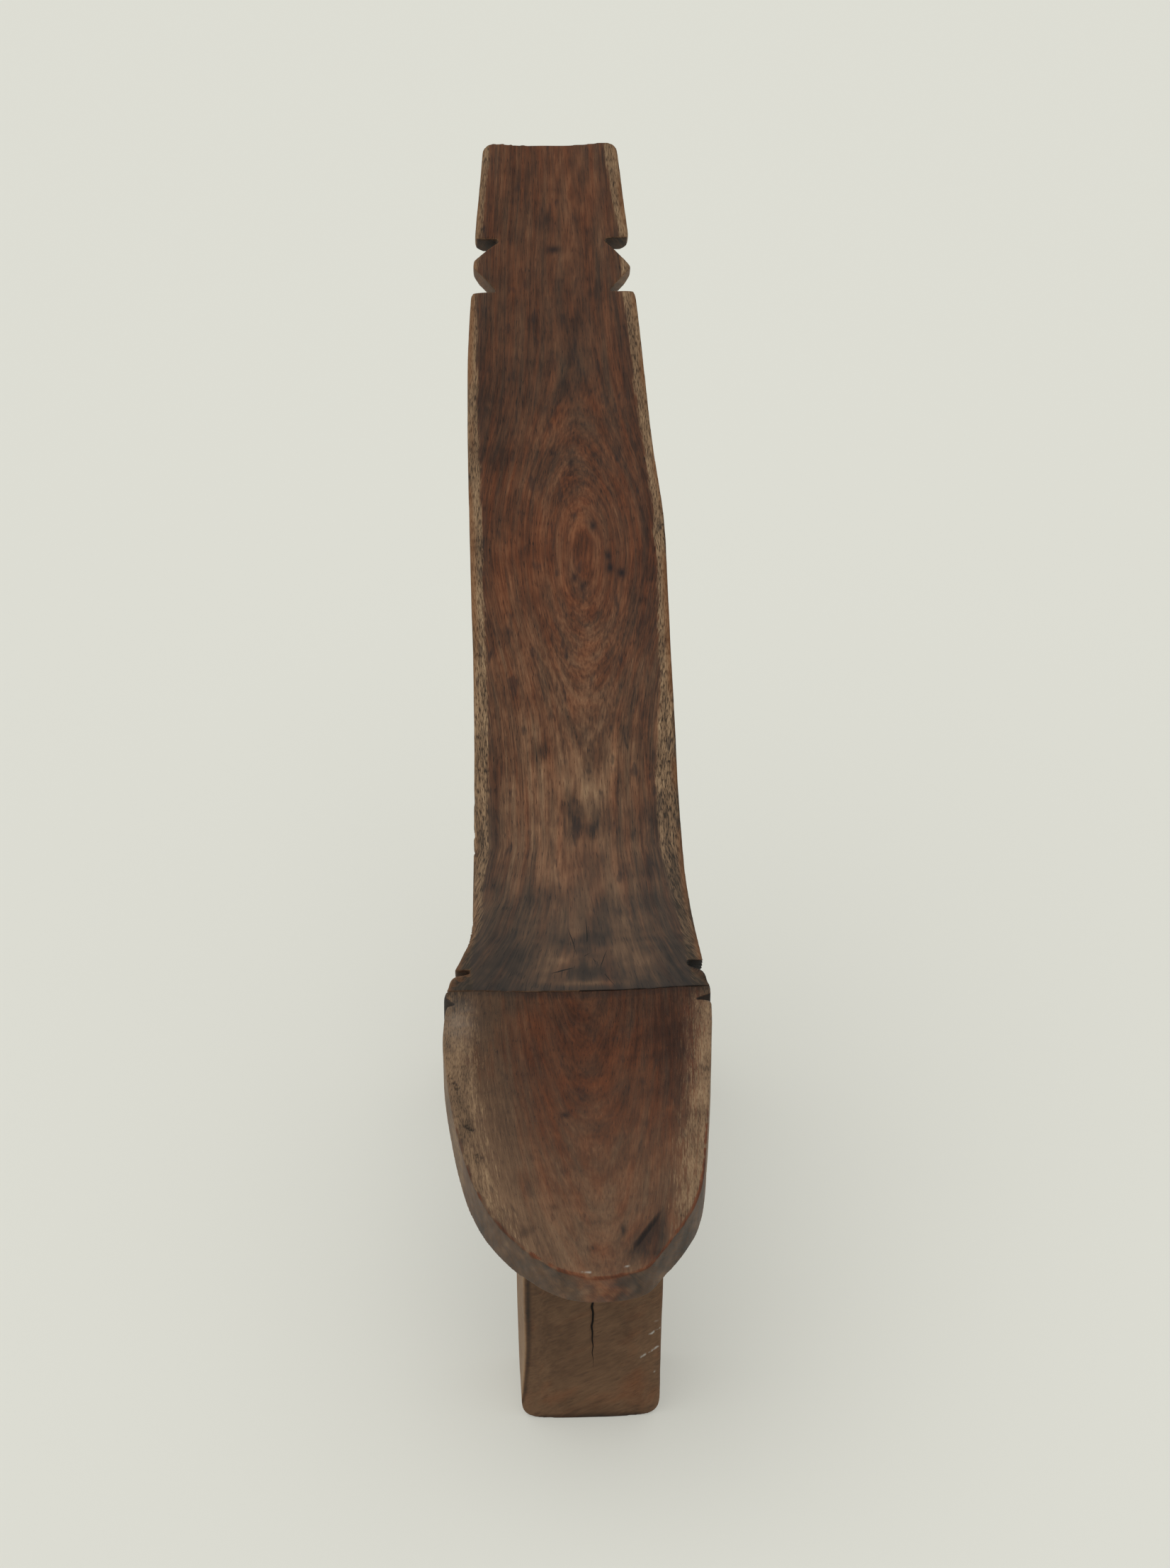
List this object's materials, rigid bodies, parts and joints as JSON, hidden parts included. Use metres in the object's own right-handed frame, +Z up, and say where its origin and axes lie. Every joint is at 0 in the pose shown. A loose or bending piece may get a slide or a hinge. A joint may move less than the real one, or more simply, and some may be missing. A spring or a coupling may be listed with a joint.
{
  "type": "low carved chair",
  "caption": "Low three-legged carved wooden chair: dished rounded seat, long narrow leaning back with notched head, broad front leg and raked rear legs on pegged tenons.",
  "frame": {"origin": "on the floor, under the middle of the outer box", "axes": "+Z up, +Y from the front lip of the seat towards the head of the back, +X across"},
  "size_m": [0.2086, 0.9276, 0.7167],
  "materials": {
    "chair_wood": "hand-worked dark red-brown hardwood, worn, pale sapwood along the edges",
    "peg_wood": "dark round-whittled hardwood"
  },
  "bodies": {
    "root": {"seat": "chair_wood", "backrest": "chair_wood", "front_leg": "chair_wood", "front_leg_peg": "peg_wood", "rear_leg_left": "chair_wood", "rear_leg_right": "chair_wood", "rear_leg_peg_left": "peg_wood", "rear_leg_peg_right": "peg_wood", "backrest_peg_left": "peg_wood", "backrest_peg_right": "peg_wood"}
  },
  "joints": []
}
